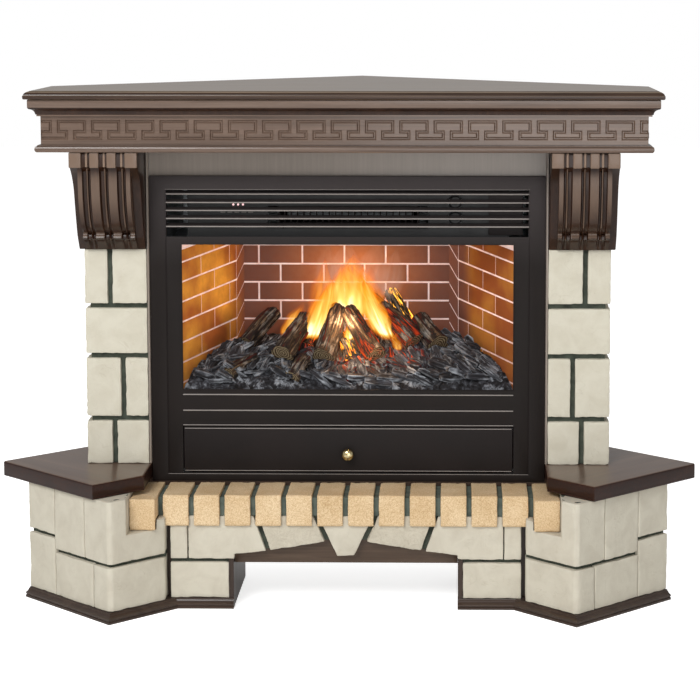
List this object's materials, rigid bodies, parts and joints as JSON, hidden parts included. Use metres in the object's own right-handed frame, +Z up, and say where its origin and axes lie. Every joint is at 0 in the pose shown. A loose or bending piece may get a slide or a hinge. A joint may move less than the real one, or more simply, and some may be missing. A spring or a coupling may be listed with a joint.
{
  "type": "corner fireplace",
  "caption": "Corner fireplace: wood and cast-stone portal with fluted corbels, meander frieze, side shelves and brick hearth round an electric log-fire insert with a water drawer.",
  "frame": {"origin": "middle of the bounding box on the floor, under the plinths", "axes": "+X to the viewer's right along the widest extent, +Y back towards the room's corner, +Z up"},
  "size_m": [1.3, 0.8846, 0.95],
  "materials": {
    "walnut": "stained walnut veneer, satin lacquer",
    "dark_walnut": "dark stained walnut, satin lacquer",
    "cast_stone": "matt hand-dressed cast stone, cream",
    "sand_brick": "matt sandy brick",
    "black_steel": "fine-textured black powder coat",
    "galvanised": "galvanised sheet",
    "fire_brick": "printed brick panel, pale mortar",
    "ash": "painted resin embers and ash",
    "bark": "painted resin bark",
    "brass": "polished pale brass",
    "black_plastic": "moulded black plastic",
    "smoky_plastic": "smoky translucent moulded tank",
    "rotor_metal": "pressed aluminium fan rotor"
  },
  "bodies": {
    "root": {"mantel_top": "walnut", "crown_moulding": "walnut", "frieze_front": "walnut", "frieze_return_right": "walnut", "frieze_return_left": "walnut", "frieze_moulding": "walnut", "portal_panel": "walnut", "portal_trim_right": "walnut", "portal_trim_left": "walnut", "side_shelf_right": "walnut", "side_shelf_left": "walnut", "mantel_soffit": "dark_walnut", "column_box_right": "dark_walnut", "column_box_left": "dark_walnut", "corbel_right": "dark_walnut", "corbel_left": "dark_walnut", "plinth_box_right": "dark_walnut", "plinth_box_left": "dark_walnut", "base_moulding_right": "dark_walnut", "base_moulding_left": "dark_walnut", "apron_board": "dark_walnut", "hearth_board": "dark_walnut", "column_stone_right": "cast_stone", "column_stone_left": "cast_stone", "plinth_stone_right": "cast_stone", "plinth_stone_left": "cast_stone", "arch_facing": "cast_stone", "hearth_bricks": "sand_brick", "trim_frame": "black_steel", "front_panel": "black_steel", "louvre_grille": "black_steel", "insert_case": "galvanised", "chamber_roof": "galvanised", "chamber_floor": "galvanised", "fan_housing": "galvanised", "heating_element": "galvanised", "drawer_runner": "galvanised", "brick_panel_back": "fire_brick", "brick_panel_right": "fire_brick", "brick_panel_left": "fire_brick", "ember_bed": "ash", "log_far_left": "bark", "log_lying_left": "bark", "log_left": "bark", "log_centre": "bark", "log_back_tall": "bark", "log_right": "bark", "log_far_right": "bark", "log_back_right": "bark", "cable_gland": "black_plastic", "fan_motor": "black_plastic", "control_panel": "black_plastic"},
    "drawer": {"drawer_front": "black_steel", "drawer_tray": "galvanised", "drawer_knob": "brass", "water_tank": "smoky_plastic", "mist_unit": "black_plastic"},
    "dial_upper": {"dial_upper": "black_plastic"},
    "dial_lower": {"dial_lower": "black_plastic"},
    "fan": {"fan_rotor": "rotor_metal"}
  },
  "joints": [
    {"name": "drawer_slide", "type": "slide", "parent": "root", "child": "drawer", "axis": [0, -1, 0], "range_m": [0, 0.17]},
    {"name": "dial_upper_turn", "type": "hinge", "parent": "root", "child": "dial_upper", "pos_m": [0.2, -0.19272, 0.738], "axis": [0, 1, 0], "range_deg": [0, 270]},
    {"name": "dial_lower_turn", "type": "hinge", "parent": "root", "child": "dial_lower", "pos_m": [0.2, -0.19272, 0.708], "axis": [0, 1, 0], "range_deg": [0, 270]},
    {"name": "fan_spin", "type": "hinge", "parent": "root", "child": "fan", "pos_m": [0, -0.08772, 0.722], "axis": [1, 0, 0], "continuous": true}
  ]
}
